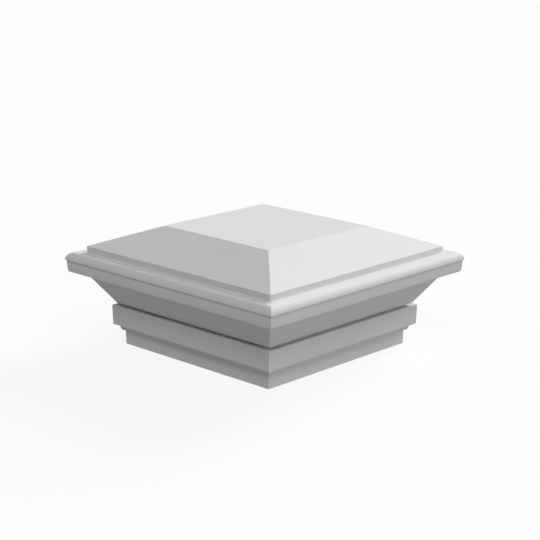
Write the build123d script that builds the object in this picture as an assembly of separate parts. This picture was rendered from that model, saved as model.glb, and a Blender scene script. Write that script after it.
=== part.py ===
"""Post cap for a square newel post, shaped from one block.

The cap is square in plan and the same on all four sides. From the foot up it has a neck, a small
fillet, a flat band, a bevel that spreads out under the brim, a brim with a fascia and a rounded
nose, and a low pyramid cut off flat at the top. A square socket in the underside takes the head
of the post. Millimetres, +Z up, origin at the centre of the foot, sides square to X and Y.
"""

import os

from build123d import *

NODE = "post_cap"

# The post and the socket that takes it
post_width = 88.9
post_clearance = 0.8
socket_depth = 32.0
socket_corner_radius = 1.0
socket_draft = 0.5
mouth_chamfer = 1.5
neck_wall = 12.8

# The hollow above the seat, which keeps the block light and even
seat_width = 8.0
hollow_draft = 3.0
hollow_corner_radius = 6.0
roof_thickness = 14.0

# How far the members stand out from the neck, on each side
fillet_projection = 2.2
band_projection = 5.2
ledge_depth = 2.5

# The brim, and how far the members on it and under it are set in, on each side
nose_width = 165.0
soffit_depth = 6.2
slab_setback = 9.2
slope_run = 32.0

# Heights of the members, from the foot up
neck_height = 8.7
fillet_height = 3.4
band_height = 11.8
bevel_height = 20.2
fascia_height = 7.0
slab_height = 4.1
pyramid_rise = 12.3

# Small forms
nose_radius = 4.5
nose_fall = 0.5
lip_step = 0.8
fascia_undercut = 0.6
fascia_straight = 1.0
fillet_undercut = 0.6
arris_radius = 0.3

socket_width = post_width + 2 * post_clearance
hollow_width = socket_width - 2 * seat_width
neck_width = socket_width + 2 * neck_wall
fillet_width = neck_width + 2 * fillet_projection
band_width = neck_width + 2 * band_projection
bevel_foot_width = band_width - 2 * ledge_depth
fascia_width = nose_width - 2 * lip_step
bevel_top_width = fascia_width - 2 * (fascia_undercut + soffit_depth)
slab_width = nose_width - 2 * slab_setback
flat_top_width = slab_width - 2 * slope_run

fillet_foot_z = neck_height
band_foot_z = fillet_foot_z + fillet_height
band_top_z = band_foot_z + band_height
soffit_z = band_top_z + bevel_height
lip_z = soffit_z + fascia_height
crest_z = lip_z + nose_radius
shelf_z = crest_z - nose_fall
slab_top_z = shelf_z + slab_height
top_z = slab_top_z + pyramid_rise


def side_outline():
    """Outline of the cap seen square on to one side, drawn on the XZ plane."""
    neck, fillet_x, band = neck_width / 2, fillet_width / 2, band_width / 2
    bevel_foot, bevel_top = bevel_foot_width / 2, bevel_top_width / 2
    nose, fascia, slab, flat_top = nose_width / 2, fascia_width / 2, slab_width / 2, flat_top_width / 2
    fascia_foot = fascia - fascia_undercut
    eased = [
        (fillet_x - fillet_undercut, fillet_foot_z),
        (band, band_foot_z),
        (band, band_top_z),
        (fascia_foot, soffit_z),
        (nose, lip_z),
        (slab, slab_top_z),
        (flat_top, top_z),
    ]
    with BuildSketch(Plane.XZ) as outline:
        with BuildLine():
            Polyline(
                (0, 0),
                (neck, 0),
                (neck, fillet_foot_z),
                (fillet_x - fillet_undercut, fillet_foot_z),
                (fillet_x, band_foot_z - fillet_height / 2),
                (fillet_x, band_foot_z),
                (band, band_foot_z),
                (band, band_top_z),
                (bevel_foot, band_top_z),
                (bevel_top, soffit_z),
                (fascia_foot, soffit_z),
            )
            TangentArc(
                (fascia, lip_z - fascia_straight),
                (fascia_foot, soffit_z),
                tangent=(0, -1),
            )
            Polyline(
                (fascia, lip_z - fascia_straight),
                (fascia, lip_z),
                (nose, lip_z),
            )
            RadiusArc((nose, lip_z), (nose - nose_radius, crest_z), -nose_radius)
            Polyline(
                (nose - nose_radius, crest_z),
                (slab, shelf_z),
                (slab, slab_top_z),
                (flat_top, top_z),
                (0, top_z),
                (0, 0),
            )
        make_face()
        corners = [
            corner
            for corner in outline.vertices()
            if any(abs(corner.X - x) + abs(corner.Y - z) < 0.001 for x, z in eased)
        ]
        fillet(corners, arris_radius)
        mirror(about=Plane.YZ)
    return outline.sketch


def outer_form():
    """The outside of the cap: the outline run along Y, cut to the same outline run along X."""
    along_y = extrude(side_outline(), amount=nose_width, both=True)
    along_x = Rot(Z=90) * along_y
    return along_y & along_x


def post_socket():
    """The square socket for the head of the post, which stops at a flat seat."""
    with BuildPart() as socket:
        with BuildSketch(Plane.XY):
            RectangleRounded(socket_width, socket_width, socket_corner_radius)
        extrude(amount=socket_depth, taper=socket_draft)
    return socket.part


def socket_mouth():
    """The lead-in that opens the mouth of the socket."""
    mouth_width = socket_width + 2 * mouth_chamfer
    with BuildPart() as mouth:
        with BuildSketch(Plane.XY):
            Rectangle(mouth_width, mouth_width)
        extrude(amount=mouth_chamfer, taper=45)
    return mouth.part


def hollow():
    """The smaller square hollow above the seat."""
    with BuildPart() as core:
        with BuildSketch(Plane.XY.offset(socket_depth)):
            RectangleRounded(hollow_width, hollow_width, hollow_corner_radius)
        extrude(amount=top_z - roof_thickness - socket_depth, taper=hollow_draft)
    return core.part


def build_cap():
    """The cap with its socket and hollow cut out of the underside."""
    cap = outer_form() - post_socket() - socket_mouth() - hollow()
    cap.label = NODE
    cap.color = Color(0.82, 0.82, 0.82)
    return cap


def main():
    """Build the cap and write its file."""
    os.makedirs("parts", exist_ok=True)
    cap = build_cap()
    box = cap.bounding_box()
    print(NODE, "solids", len(cap.solids()), "faces", len(cap.faces()), "valid", cap.is_valid)
    print("volume", round(cap.volume / 1000, 1), "cm3")
    print("size", round(box.size.X, 2), round(box.size.Y, 2), round(box.size.Z, 2))
    export_step(cap, os.path.join("parts", NODE + ".step"))


main()
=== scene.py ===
"""Looks of the post cap: a finely eased mesh of the moulding, its white finish, and a studio.

The cap is one piece. Its profile is walked from the roof of the hollow, down through the socket,
round the foot and up the outside to the flat top, and every corner of that walk is eased by its
own small radius. The profile is then carried round a square with softened corners.

The cap's sizes are in mm. A width is measured across the flats, and a height from the foot up.
"""

import logging
import math
from dataclasses import dataclass
from enum import Enum

import bmesh
import bpy
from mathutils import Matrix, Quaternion, Vector


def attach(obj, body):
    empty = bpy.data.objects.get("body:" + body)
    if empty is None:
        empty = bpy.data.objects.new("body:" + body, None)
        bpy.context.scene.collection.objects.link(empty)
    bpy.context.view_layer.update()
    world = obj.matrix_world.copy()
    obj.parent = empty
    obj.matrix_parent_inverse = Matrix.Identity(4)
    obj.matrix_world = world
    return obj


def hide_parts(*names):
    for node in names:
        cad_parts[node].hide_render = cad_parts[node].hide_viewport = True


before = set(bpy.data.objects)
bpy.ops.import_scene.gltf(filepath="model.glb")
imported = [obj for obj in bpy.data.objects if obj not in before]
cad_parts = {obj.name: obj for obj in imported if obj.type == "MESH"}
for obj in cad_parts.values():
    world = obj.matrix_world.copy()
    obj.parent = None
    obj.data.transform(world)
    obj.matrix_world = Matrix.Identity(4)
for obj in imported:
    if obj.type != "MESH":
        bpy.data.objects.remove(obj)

LOG = logging.getLogger("post_cap")
MM = 0.001
NODE = "post_cap"
BODY = "root"

# Radius of an outer arris and of an inner corner
OUTER_EASE = 0.25
INNER_EASE = 0.2

# Above this angle a corner counts as straight, and this share of each leg is the most an arc takes
STRAIGHT_ANGLE = math.radians(179.5)
LEG_SHARE = 0.49

# Vertices closer than this, in metres, become one, and this weight lets large faces rule the shading
MERGE_DISTANCE = 1e-7
LARGE_FACE_WEIGHT = 100


class PlanCorner(Enum):
    """Radius of a ring's corners seen in plan."""

    ARRIS = OUTER_EASE
    SOCKET = 1.0
    HOLLOW = 5.5


@dataclass(frozen=True)
class ProfileCorner:
    """One corner of the profile before it is eased.

    Args:
        half: half of the width.
        height: height above the foot.
        ease: radius that rounds this corner of the profile.
        plan: radius of the ring's corners seen in plan.
    """

    half: float
    height: float
    ease: float = 0.0
    plan: PlanCorner = PlanCorner.ARRIS


@dataclass(frozen=True)
class Ring:
    """One ring of the finished surface.

    Args:
        half: half of the width.
        height: height above the foot.
        plan: radius of the corners seen in plan.
    """

    half: float
    height: float
    plan: float


@dataclass(frozen=True)
class Profile:
    """A walk of corners that can be eased into rings.

    Args:
        corners: the corners, in walking order.
        arc_steps: steps taken round each eased corner.
    """

    corners: tuple[ProfileCorner, ...]
    arc_steps: int = 6

    def rings(self) -> list[Ring]:
        """Return the rings of the eased walk.

        Returns:
            The rings, in walking order, with the two ends left as they are.
        """
        made = [self._ring_at(self.corners[0])]
        for before, here, after in zip(self.corners, self.corners[1:], self.corners[2:]):
            made.extend(self._eased(before, here, after))
        made.append(self._ring_at(self.corners[-1]))
        return made

    def _ring_at(self, corner: ProfileCorner) -> Ring:
        """Return a ring that passes exactly through a corner."""
        return Ring(corner.half, corner.height, corner.plan.value)

    def _eased(self, before: ProfileCorner, here: ProfileCorner, after: ProfileCorner) -> list[Ring]:
        """Round one corner of the walk.

        Args:
            before: the corner that the walk comes from.
            here: the corner to round.
            after: the corner that the walk goes to.

        Returns:
            Rings along the arc, or one ring where the corner stays sharp.
        """
        point = Vector((here.half, here.height))
        back = Vector((before.half, before.height)) - point
        on = Vector((after.half, after.height)) - point
        between = back.angle(on)
        if here.ease <= 0.0 or between > STRAIGHT_ANGLE:
            return [self._ring_at(here)]
        reach = here.ease / math.tan(between / 2)
        reach = min(reach, LEG_SHARE * back.length, LEG_SHARE * on.length)
        radius = reach * math.tan(between / 2)
        inward = (back.normalized() + on.normalized()).normalized()
        centre = point + inward * (radius / math.sin(between / 2))
        start = point + back.normalized() * reach - centre
        sweep = (point + on.normalized() * reach - centre).angle_signed(start)
        rings = []
        for step in range(self.arc_steps + 1):
            angle = sweep * step / self.arc_steps
            turn_x = start.x * math.cos(angle) - start.y * math.sin(angle)
            turn_y = start.x * math.sin(angle) + start.y * math.cos(angle)
            rings.append(Ring(centre.x + turn_x, centre.y + turn_y, here.plan.value))
        return rings


@dataclass(frozen=True)
class Underside:
    """The hidden side: hollow, seat, socket and chamfered mouth.

    Args:
        socket_mouth: width of the socket at its mouth.
        socket_end: width of the socket at the seat.
        socket_depth: height of the seat.
        mouth_chamfer: leg of the chamfer round the mouth.
        hollow_foot: width of the hollow at the seat.
        hollow_head: width of the hollow at its roof.
        roof: thickness left between the hollow and the flat top.
        roof_ease: radius round the roof of the hollow.
        hollow_ease: radius where the hollow opens in the seat.
        socket_ease: radius round the seat and where the chamfer starts.
        mouth_ease: radius at the foot of the chamfer.
    """

    socket_mouth: float = 90.5
    socket_end: float = 89.94
    socket_depth: float = 32.0
    mouth_chamfer: float = 1.5
    hollow_foot: float = 74.5
    hollow_head: float = 71.83
    roof: float = 14.0
    roof_ease: float = 2.0
    hollow_ease: float = 0.5
    socket_ease: float = 0.4
    mouth_ease: float = 0.3

    def corners(self, top: float) -> list[ProfileCorner]:
        """Return the walk from half way in on the hollow's roof to the inner edge of the foot.

        Args:
            top: height of the flat top.

        Returns:
            The corners, in walking order.
        """
        hollow_roof = top - self.roof
        hollow, socket = PlanCorner.HOLLOW, PlanCorner.SOCKET
        return [
            ProfileCorner(self.hollow_head / 4, hollow_roof, 0.0, hollow),
            ProfileCorner(self.hollow_head / 2, hollow_roof, self.roof_ease, hollow),
            ProfileCorner(self.hollow_foot / 2, self.socket_depth, self.hollow_ease, hollow),
            ProfileCorner(self.socket_end / 2, self.socket_depth, self.socket_ease, socket),
            ProfileCorner(self.socket_mouth / 2, self.mouth_chamfer, self.socket_ease, socket),
            ProfileCorner(self.socket_mouth / 2 + self.mouth_chamfer, 0.0, self.mouth_ease, socket),
        ]


@dataclass(frozen=True)
class Base:
    """The foot: neck, fillet and band, up to the ledge on top of the band.

    Args:
        neck_foot: width of the neck at the foot.
        neck: width of the neck under the fillet.
        neck_height: height of the neck.
        fillet_foot: width of the fillet's underside.
        fillet: width of the fillet.
        fillet_height: height of the fillet.
        fillet_round: radius half way up the fillet, where its slanting foot meets its upright head.
        band_toe: width of the band at its underside.
        band_head: width of the band at the ledge.
        band_height: height of the band.
    """

    neck_foot: float = 115.8
    neck: float = 116.1
    neck_height: float = 8.7
    fillet_foot: float = 119.3
    fillet: float = 120.5
    fillet_height: float = 3.4
    fillet_round: float = 1.5
    band_toe: float = 126.4
    band_head: float = 127.0
    band_height: float = 11.8

    @property
    def band_foot(self) -> float:
        """Height of the underside of the band."""
        return self.neck_height + self.fillet_height

    @property
    def ledge(self) -> float:
        """Height of the ledge on top of the band."""
        return self.band_foot + self.band_height

    def corners(self) -> list[ProfileCorner]:
        """Return the walk from the outer edge of the foot to the edge of the ledge.

        Returns:
            The corners, in walking order.
        """
        middle = self.band_foot - self.fillet_height / 2
        return [
            ProfileCorner(self.neck_foot / 2, 0.0, OUTER_EASE),
            ProfileCorner(self.neck / 2, self.neck_height, INNER_EASE),
            ProfileCorner(self.fillet_foot / 2, self.neck_height, OUTER_EASE),
            ProfileCorner(self.fillet / 2, middle, self.fillet_round),
            ProfileCorner(self.fillet / 2, self.band_foot, INNER_EASE),
            ProfileCorner(self.band_toe / 2, self.band_foot, OUTER_EASE),
            ProfileCorner(self.band_head / 2, self.ledge, OUTER_EASE),
        ]


@dataclass(frozen=True)
class Quirk:
    """The fine groove at the root of the ledge, which draws the dark line over the band.

    Args:
        width: how far it comes out from the foot of the bevel.
        depth: how far it goes down below the ledge.
        rise: how far it goes up above the ledge.
        undercut: how far it goes in under the bevel.
    """

    width: float = 0.9
    depth: float = 0.3
    rise: float = 1.1
    undercut: float = 3.0

    def corners(self, bevel_foot: float, ledge: float) -> list[ProfileCorner]:
        """Return the walk from the ledge, round the groove, to the foot of the bevel.

        Args:
            bevel_foot: width of the bevel at its foot.
            ledge: height of the ledge.

        Returns:
            The corners, in walking order.
        """
        outer = bevel_foot / 2 + self.width
        inner = bevel_foot / 2 - self.undercut
        floor = ledge - self.depth
        head = ledge + self.rise
        turns = ((outer, ledge), (outer, floor), (inner, floor), (inner, head), (bevel_foot / 2, head))
        return [ProfileCorner(half, height, INNER_EASE) for half, height in turns]


@dataclass(frozen=True)
class Brim:
    """The overhang: bevel, soffit, curved fascia, lip and rounded nose.

    Args:
        bevel_foot: width of the bevel at its foot.
        bevel_top: width of the bevel at the soffit.
        bevel_height: height of the bevel.
        fascia_foot: width of the fascia at the soffit.
        fascia: width of the fascia under the lip.
        fascia_height: height of the fascia.
        fascia_straight: height of its straight part, under the lip.
        fascia_steps: steps taken along its curved part.
        lip_cove: radius of the cove under the lip.
        nose: width of the nose.
        nose_radius: radius of the nose.
        nose_fall: how far the shelf falls from the nose's crest to the slab.
        nose_steps: steps taken round the nose.
    """

    bevel_foot: float = 122.8
    bevel_top: float = 148.9
    bevel_height: float = 20.2
    fascia_foot: float = 162.2
    fascia: float = 163.4
    fascia_height: float = 7.0
    fascia_straight: float = 1.0
    fascia_steps: int = 5
    lip_cove: float = 0.5
    nose: float = 164.96
    nose_radius: float = 4.5
    nose_fall: float = 0.15
    nose_steps: int = 12

    def soffit(self, ledge: float) -> float:
        """Return the height of the flat underside of the brim."""
        return ledge + self.bevel_height

    def lip(self, ledge: float) -> float:
        """Return the height of the small lip under the nose."""
        return self.soffit(ledge) + self.fascia_height

    def shelf(self, ledge: float) -> float:
        """Return the height of the shelf where it meets the slab."""
        return self.lip(ledge) + self.nose_radius - self.nose_fall

    def corners(self, ledge: float) -> list[ProfileCorner]:
        """Return the walk from the top of the bevel to the crest of the nose.

        Args:
            ledge: height of the ledge that the bevel stands on.

        Returns:
            The corners, in walking order.
        """
        soffit, lip = self.soffit(ledge), self.lip(ledge)
        return [
            ProfileCorner(self.bevel_top / 2, soffit, INNER_EASE),
            ProfileCorner(self.fascia_foot / 2, soffit, OUTER_EASE),
            *self._fascia_curve(soffit, lip - self.fascia_straight),
            ProfileCorner(self.fascia / 2, lip, self.lip_cove),
            ProfileCorner(self.nose / 2, lip, OUTER_EASE / 2),
            *self._nose_curve(lip),
        ]

    def _fascia_curve(self, foot_z: float, head_z: float) -> list[ProfileCorner]:
        """Return points along the gentle curve at the foot of the fascia.

        Args:
            foot_z: height of the foot of the curve.
            head_z: height where the curve meets the straight part.

        Returns:
            Points above the foot, up to the head.
        """
        head = self.fascia / 2
        drop = head_z - foot_z
        inset = head - self.fascia_foot / 2
        radius = (drop * drop + inset * inset) / (2 * inset)
        full = math.asin(drop / radius)
        points = []
        for step in range(1, self.fascia_steps + 1):
            angle = full * (1 - step / self.fascia_steps)
            half = head - radius * (1 - math.cos(angle))
            points.append(ProfileCorner(half, head_z - radius * math.sin(angle)))
        return points

    def _nose_curve(self, foot_z: float) -> list[ProfileCorner]:
        """Return points along the quarter round of the nose.

        Args:
            foot_z: height at which the round starts.

        Returns:
            Points above the foot, up to the crest.
        """
        points = []
        for step in range(1, self.nose_steps + 1):
            angle = math.pi / 2 * step / self.nose_steps
            half = self.nose / 2 - self.nose_radius * (1 - math.cos(angle))
            points.append(ProfileCorner(half, foot_z + self.nose_radius * math.sin(angle)))
        return points


@dataclass(frozen=True)
class Crown:
    """The top: slab edge, low pyramid and flat top.

    Args:
        slab_foot: width of the slab at the shelf.
        slab: width of the slab at its upper arris.
        slab_height: height of the slab's edge.
        flat_top: width of the flat top.
        pyramid_rise: height of the low pyramid.
    """

    slab_foot: float = 146.3
    slab: float = 147.0
    slab_height: float = 3.75
    flat_top: float = 82.6
    pyramid_rise: float = 12.3

    def top(self, shelf: float) -> float:
        """Return the height of the flat top."""
        return shelf + self.slab_height + self.pyramid_rise

    def corners(self, shelf: float) -> list[ProfileCorner]:
        """Return the walk from the foot of the slab to half way in on the flat top.

        Args:
            shelf: height of the shelf where it meets the slab.

        Returns:
            The corners, in walking order.
        """
        top = self.top(shelf)
        return [
            ProfileCorner(self.slab_foot / 2, shelf, INNER_EASE),
            ProfileCorner(self.slab / 2, shelf + self.slab_height, OUTER_EASE),
            ProfileCorner(self.flat_top / 2, top, OUTER_EASE),
            ProfileCorner(self.flat_top / 4, top),
        ]


@dataclass(frozen=True)
class PostCap:
    """The whole cap as one closed mesh.

    Args:
        underside: the hollow and the socket.
        base: the neck, fillet and band.
        quirk: the groove over the band.
        brim: the overhang.
        crown: the slab and the low pyramid.
        corner_steps: steps round each corner of a ring.
        side_steps: steps along each side of a ring.
    """

    underside: Underside = Underside()
    base: Base = Base()
    quirk: Quirk = Quirk()
    brim: Brim = Brim()
    crown: Crown = Crown()
    corner_steps: int = 5
    side_steps: int = 8

    def build(self) -> bpy.types.Object:
        """Make the mesh object.

        Returns:
            The object, in metres, in the row frame.
        """
        mesh = bmesh.new()
        rings = Profile(self._walk()).rings()
        loops = [[mesh.verts.new(place) for place in self._ring_places(ring)] for ring in rings]
        for lower, upper in zip(loops, loops[1:]):
            for index in range(len(lower)):
                after = (index + 1) % len(lower)
                mesh.faces.new((lower[index], lower[after], upper[after], upper[index]))
        mesh.faces.new(loops[-1])
        mesh.faces.new(list(reversed(loops[0])))
        bmesh.ops.remove_doubles(mesh, verts=mesh.verts, dist=MERGE_DISTANCE)
        bmesh.ops.recalc_face_normals(mesh, faces=mesh.faces)
        for face in mesh.faces:
            face.smooth = True
        data = bpy.data.meshes.new("cap_moulding")
        mesh.to_mesh(data)
        mesh.free()
        made = bpy.data.objects.new("cap_moulding", data)
        bpy.context.scene.collection.objects.link(made)
        weighted = made.modifiers.new("flat faces stay flat", "WEIGHTED_NORMAL")
        weighted.mode = "FACE_AREA"
        weighted.weight = LARGE_FACE_WEIGHT
        return made

    def dress(self, made: bpy.types.Object, finish: bpy.types.Material) -> None:
        """Give the cap its finish and its place in the frame.

        Args:
            made: the cap's object.
            finish: the material it wears.
        """
        made.data.materials.append(finish)
        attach(made, BODY)
        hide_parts(NODE)

    def _walk(self) -> tuple[ProfileCorner, ...]:
        """Return the whole walk, from the roof of the hollow to the flat top.

        Returns:
            The corners, in walking order.
        """
        ledge = self.base.ledge
        shelf = self.brim.shelf(ledge)
        return (
            *self.underside.corners(self.crown.top(shelf)),
            *self.base.corners(),
            *self.quirk.corners(self.brim.bevel_foot, ledge),
            *self.brim.corners(ledge),
            *self.crown.corners(shelf),
        )

    def _ring_places(self, ring: Ring) -> list[Vector]:
        """Return the vertices of one ring.

        Args:
            ring: the ring.

        Returns:
            Places in metres, anticlockwise seen from above.
        """
        places = []
        flat = ring.half - ring.plan
        for quarter in range(4):
            for step in range(self.corner_steps + 1):
                angle = math.pi / 2 * step / self.corner_steps
                x = flat + ring.plan * math.cos(angle)
                y = flat + ring.plan * math.sin(angle)
                places.append(self._turned(x, y, ring.height, quarter))
            for step in range(1, self.side_steps):
                along = flat - 2 * flat * step / self.side_steps
                places.append(self._turned(along, ring.half, ring.height, quarter))
        return places

    def _turned(self, x: float, y: float, z: float, quarters: int) -> Vector:
        """Turn a place about the upright axis and bring it to metres.

        Args:
            x: place along X.
            y: place along Y.
            z: height.
            quarters: how many quarter turns it makes, anticlockwise.

        Returns:
            The turned place, in metres.
        """
        for _ in range(quarters):
            x, y = -y, x
        return Vector((x, y, z)) * MM


@dataclass(frozen=True)
class MouldedSkin:
    """Shader group for the skin of a moulding: fine peel, faint mottling and uneven polish.

    Args:
        name: name of the group.
        peel_detail: octaves of the peel's noise.
        peel_roughness: how strong its finer octaves are.
        mottle_scale: scale of the mottling, per metre.
        mottle_detail: octaves of the mottling's noise.
        noise_middle: the noise's mean, at which the polish is the one asked for.
    """

    name: str = "moulded_skin"
    peel_detail: float = 3.0
    peel_roughness: float = 0.55
    mottle_scale: float = 38.0
    mottle_detail: float = 5.0
    noise_middle: float = 0.5

    def build(self) -> bpy.types.ShaderNodeTree:
        """Make the group, or return it if it is there.

        Returns:
            The node group.
        """
        if self.name in bpy.data.node_groups:
            return bpy.data.node_groups[self.name]
        group = bpy.data.node_groups.new(self.name, "ShaderNodeTree")
        self._add_sockets(group)
        nodes, links = group.nodes, group.links
        source = nodes.new("NodeGroupInput")
        result = nodes.new("NodeGroupOutput")

        peel = nodes.new("ShaderNodeTexNoise")
        peel.inputs["Detail"].default_value = self.peel_detail
        peel.inputs["Roughness"].default_value = self.peel_roughness
        links.new(source.outputs["Place"], peel.inputs["Vector"])
        links.new(source.outputs["Peel Scale"], peel.inputs["Scale"])
        links.new(peel.outputs["Fac"], result.inputs["Height"])

        mottle = nodes.new("ShaderNodeTexNoise")
        mottle.inputs["Scale"].default_value = self.mottle_scale
        mottle.inputs["Detail"].default_value = self.mottle_detail
        links.new(source.outputs["Place"], mottle.inputs["Vector"])

        tone = nodes.new("ShaderNodeMix")
        tone.data_type = "RGBA"
        links.new(mottle.outputs["Fac"], tone.inputs["Factor"])
        links.new(source.outputs["Colour"], tone.inputs["A"])
        links.new(source.outputs["Shaded Colour"], tone.inputs["B"])
        links.new(tone.outputs["Result"], result.inputs["Colour"])

        centred = nodes.new("ShaderNodeMath")
        centred.operation = "SUBTRACT"
        centred.inputs[1].default_value = self.noise_middle
        links.new(mottle.outputs["Fac"], centred.inputs[0])
        polish = nodes.new("ShaderNodeMath")
        polish.operation = "MULTIPLY_ADD"
        links.new(centred.outputs["Value"], polish.inputs[0])
        links.new(source.outputs["Polish Spread"], polish.inputs[1])
        links.new(source.outputs["Polish"], polish.inputs[2])
        links.new(polish.outputs["Value"], result.inputs["Roughness"])
        return group

    def _add_sockets(self, group: bpy.types.ShaderNodeTree) -> None:
        """Give the group its named inputs and outputs.

        Args:
            group: the node group.
        """
        inputs = {
            "Place": "NodeSocketVector",
            "Peel Scale": "NodeSocketFloat",
            "Colour": "NodeSocketColor",
            "Shaded Colour": "NodeSocketColor",
            "Polish": "NodeSocketFloat",
            "Polish Spread": "NodeSocketFloat",
        }
        outputs = {"Colour": "NodeSocketColor", "Roughness": "NodeSocketFloat", "Height": "NodeSocketFloat"}
        for name, kind in inputs.items():
            group.interface.new_socket(name, in_out="INPUT", socket_type=kind)
        for name, kind in outputs.items():
            group.interface.new_socket(name, in_out="OUTPUT", socket_type=kind)


@dataclass(frozen=True)
class WhiteMoulding:
    """Satin white finish of the cap.

    Args:
        colour: main colour, linear.
        shaded: the slightly deeper colour it is mottled with, linear.
        roughness: middle of the roughness.
        spread: how far the roughness wanders.
        sheen: level of the mirrored light, where 0.5 is that of plain plastic.
        peel_scale: scale of the fine peel, per metre.
        peel_depth: depth of the peel, in metres.
    """

    colour: tuple[float, float, float] = (0.80, 0.80, 0.80)
    shaded: tuple[float, float, float] = (0.785, 0.785, 0.785)
    roughness: float = 0.62
    spread: float = 0.12
    sheen: float = 0.08
    peel_scale: float = 900.0
    peel_depth: float = 0.00002

    def build(self) -> bpy.types.Material:
        """Make the material.

        Returns:
            The finished material.
        """
        material = bpy.data.materials.new("moulded_white")
        material.use_nodes = True
        nodes, links = material.node_tree.nodes, material.node_tree.links
        shader = nodes["Principled BSDF"]
        shader.inputs["Specular IOR Level"].default_value = self.sheen
        place = nodes.new("ShaderNodeTexCoord")
        skin = nodes.new("ShaderNodeGroup")
        skin.node_tree = MouldedSkin().build()
        skin.inputs["Peel Scale"].default_value = self.peel_scale
        skin.inputs["Colour"].default_value = (*self.colour, 1.0)
        skin.inputs["Shaded Colour"].default_value = (*self.shaded, 1.0)
        skin.inputs["Polish"].default_value = self.roughness
        skin.inputs["Polish Spread"].default_value = self.spread
        bump = nodes.new("ShaderNodeBump")
        bump.inputs["Strength"].default_value = 1.0
        bump.inputs["Distance"].default_value = self.peel_depth
        links.new(place.outputs["Object"], skin.inputs["Place"])
        links.new(skin.outputs["Colour"], shader.inputs["Base Color"])
        links.new(skin.outputs["Roughness"], shader.inputs["Roughness"])
        links.new(skin.outputs["Height"], bump.inputs["Height"])
        links.new(bump.outputs["Normal"], shader.inputs["Normal"])
        return material


def seen_ray(tree: bpy.types.NodeTree) -> bpy.types.NodeSocket:
    """Add nodes that tell the rays that show the studio from the rays that light the cap.

    Args:
        tree: the node tree that gets the nodes.

    Returns:
        A socket that is 1 for rays from the camera, mirrored rays and rays that pass through glass.
    """
    path = tree.nodes.new("ShaderNodeLightPath")
    seen = path.outputs["Is Camera Ray"]
    for name in ("Is Glossy Ray", "Is Transmission Ray"):
        either = tree.nodes.new("ShaderNodeMath")
        either.operation = "MAXIMUM"
        tree.links.new(seen, either.inputs[0])
        tree.links.new(path.outputs[name], either.inputs[1])
        seen = either.outputs["Value"]
    return seen


@dataclass(frozen=True)
class StudioFloor:
    """Plain pale floor that keeps the cap's shadow and can be seen through from below.

    Args:
        reach: half of the floor's width, in metres.
        gap: how far the floor lies below the foot, in metres.
        bounce: even light that the floor gives back to the cap.
        tone: the floor's colour where it is seen.
        glow: even light added where it is seen, so that the lit floor is near white.
    """

    reach: float = 12.0
    gap: float = 0.0002
    bounce: float = 0.30
    tone: float = 0.14
    glow: float = 0.86

    def build(self) -> bpy.types.Object:
        """Make the floor.

        Returns:
            The floor's object.
        """
        data = bpy.data.meshes.new("floor")
        turns = ((-1, -1), (1, -1), (1, 1), (-1, 1))
        corners = [(x * self.reach, y * self.reach, 0.0) for x, y in turns]
        data.from_pydata(corners, [], [(0, 1, 2, 3)])
        made = bpy.data.objects.new("floor", data)
        bpy.context.scene.collection.objects.link(made)
        made.location.z = -self.gap
        data.materials.append(self._material())
        return made

    def _material(self) -> bpy.types.Material:
        """Make the floor's material, which is clear from below.

        Returns:
            The material.
        """
        material = bpy.data.materials.new("studio_floor")
        material.use_nodes = True
        nodes, links = material.node_tree.nodes, material.node_tree.links
        nodes.clear()
        seen = seen_ray(material.node_tree)
        tone = nodes.new("ShaderNodeMix")
        tone.data_type = "RGBA"
        tone.inputs["A"].default_value = (0.0, 0.0, 0.0, 1.0)
        tone.inputs["B"].default_value = (self.tone, self.tone, self.tone, 1.0)
        strength = nodes.new("ShaderNodeMix")
        strength.data_type = "FLOAT"
        strength.inputs["A"].default_value = self.bounce
        strength.inputs["B"].default_value = self.glow
        side = nodes.new("ShaderNodeNewGeometry")
        matt = nodes.new("ShaderNodeBsdfDiffuse")
        shine = nodes.new("ShaderNodeEmission")
        both = nodes.new("ShaderNodeAddShader")
        clear = nodes.new("ShaderNodeBsdfTransparent")
        mixed = nodes.new("ShaderNodeMixShader")
        out = nodes.new("ShaderNodeOutputMaterial")
        links.new(seen, tone.inputs["Factor"])
        links.new(seen, strength.inputs["Factor"])
        links.new(tone.outputs["Result"], matt.inputs["Color"])
        links.new(strength.outputs["Result"], shine.inputs["Strength"])
        links.new(matt.outputs["BSDF"], both.inputs[0])
        links.new(shine.outputs["Emission"], both.inputs[1])
        links.new(side.outputs["Backfacing"], mixed.inputs["Fac"])
        links.new(both.outputs["Shader"], mixed.inputs[1])
        links.new(clear.outputs["BSDF"], mixed.inputs[2])
        links.new(mixed.outputs["Shader"], out.inputs["Surface"])
        return material


class LampSide(Enum):
    """Where the studio's broad lamps stand: azimuth from +X and elevation, in degrees."""

    KEY = (4.0, 28.0)
    LEFT = (200.0, 50.0)
    FRONT = (225.0, 45.0)
    RIGHT = (285.0, 50.0)
    LOW = (264.0, 10.0)


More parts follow.
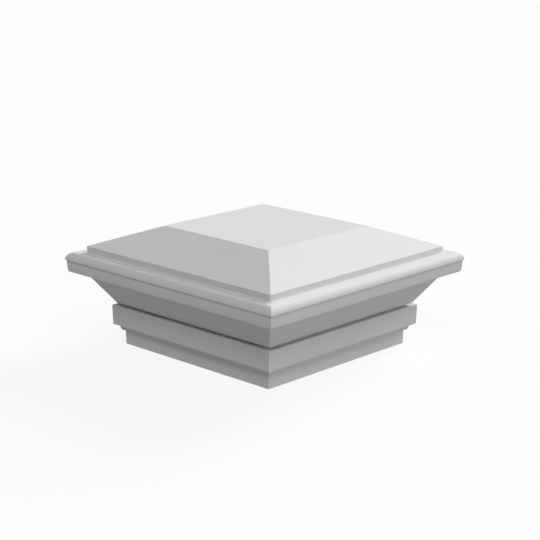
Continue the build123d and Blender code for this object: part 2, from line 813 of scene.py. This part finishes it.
@dataclass(frozen=True)
class SoftLamp:
    """One broad, even lamp, far away.

    Args:
        side: where it stands.
        strength: how bright it makes a white face that is turned square to it.
        breadth: how wide it looks from the cap, in degrees.
        distance: how far off its object stands, in metres, which changes nothing in its light.
    """

    side: LampSide
    strength: float
    breadth: float
    distance: float = 2.0

    def build(self) -> bpy.types.Object:
        """Make the lamp.

        Returns:
            The lamp's object.
        """
        name = self.side.name.lower()
        lamp = bpy.data.lights.new(name, "SUN")
        lamp.energy = math.pi * self.strength
        lamp.angle = math.radians(self.breadth)
        made = bpy.data.objects.new(name, lamp)
        azimuth, elevation = (math.radians(angle) for angle in self.side.value)
        flat = math.cos(elevation)
        toward = Vector((math.cos(azimuth) * flat, math.sin(azimuth) * flat, math.sin(elevation)))
        made.location = toward * self.distance
        made.rotation_mode = "QUATERNION"
        made.rotation_quaternion = toward.to_track_quat("Z", "Y")
        bpy.context.scene.collection.objects.link(made)
        return made


STUDIO_LAMPS = (
    SoftLamp(LampSide.KEY, 1.01, 30.0),
    SoftLamp(LampSide.LEFT, 0.17, 34.0),
    SoftLamp(LampSide.FRONT, 0.22, 34.0),
    SoftLamp(LampSide.RIGHT, 0.11, 34.0),
    SoftLamp(LampSide.LOW, 0.16, 18.0),
)


@dataclass(frozen=True)
class StudioSky:
    """Even surround of the studio.

    Args:
        light: brightness with which it lights the cap.
        seen: brightness where it is seen.
    """

    light: float = 0.003
    seen: float = 0.985

    def build(self) -> None:
        """Make the world: faint as a light, and near white where it is seen."""
        world = bpy.data.worlds.new("studio")
        world.use_nodes = True
        nodes, links = world.node_tree.nodes, world.node_tree.links
        nodes.clear()
        mix = nodes.new("ShaderNodeMix")
        mix.data_type = "FLOAT"
        mix.inputs["A"].default_value = self.light
        mix.inputs["B"].default_value = self.seen
        background = nodes.new("ShaderNodeBackground")
        out = nodes.new("ShaderNodeOutputWorld")
        links.new(seen_ray(world.node_tree), mix.inputs["Factor"])
        links.new(mix.outputs["Result"], background.inputs["Strength"])
        links.new(background.outputs["Background"], out.inputs["Surface"])
        bpy.context.scene.world = world


@dataclass(frozen=True)
class StudioCamera:
    """Camera at the photograph's angle.

    Args:
        place: where the camera stands, in metres.
        azimuth: direction it looks from, in degrees.
        elevation: height it looks from, in degrees.
        roll: how far it leans, in degrees.
        lens: focal length, in mm.
        sensor: width of the sensor, in mm.
        nearest: closest distance it sees, in metres.
        farthest: farthest distance it sees, in metres.
    """

    place: tuple[float, float, float] = (-0.6163, -0.5838, 0.2717)
    azimuth: float = -46.734
    elevation: float = 14.961
    roll: float = 0.4194
    lens: float = 100.26
    sensor: float = 36.0
    nearest: float = 0.01
    farthest: float = 100.0

    def build(self) -> bpy.types.Object:
        """Make the camera and make it the scene's own.

        Returns:
            The camera's object.
        """
        data = bpy.data.cameras.new("camera")
        data.lens = self.lens
        data.sensor_width = self.sensor
        data.clip_start = self.nearest
        data.clip_end = self.farthest
        made = bpy.data.objects.new("camera", data)
        azimuth, elevation = math.radians(self.azimuth), math.radians(self.elevation)
        flat = math.cos(elevation)
        back = Vector((math.sin(azimuth) * flat, -math.cos(azimuth) * flat, math.sin(elevation)))
        made.location = self.place
        made.rotation_mode = "QUATERNION"
        lean = Quaternion((0.0, 0.0, 1.0), math.radians(self.roll))
        made.rotation_quaternion = back.to_track_quat("Z", "Y") @ lean
        bpy.context.scene.collection.objects.link(made)
        bpy.context.scene.camera = made
        return made


def main() -> None:
    """Build the cap, dress it and set up the studio."""
    logging.basicConfig(level=logging.INFO, format="%(name)s: %(message)s")
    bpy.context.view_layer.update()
    cap = PostCap()
    made = cap.build()
    cap.dress(made, WhiteMoulding().build())
    LOG.info("cap: %d vertices, %d faces", len(made.data.vertices), len(made.data.polygons))
    StudioFloor().build()
    LOG.info("floor set under the foot")
    for lamp in STUDIO_LAMPS:
        LOG.info("lamp %s set", lamp.build().name)
    StudioSky().build()
    LOG.info("sky set")
    StudioCamera().build()
    LOG.info("camera placed")
    bpy.context.scene.view_settings.view_transform = "Standard"


if __name__ == "__main__":
    main()
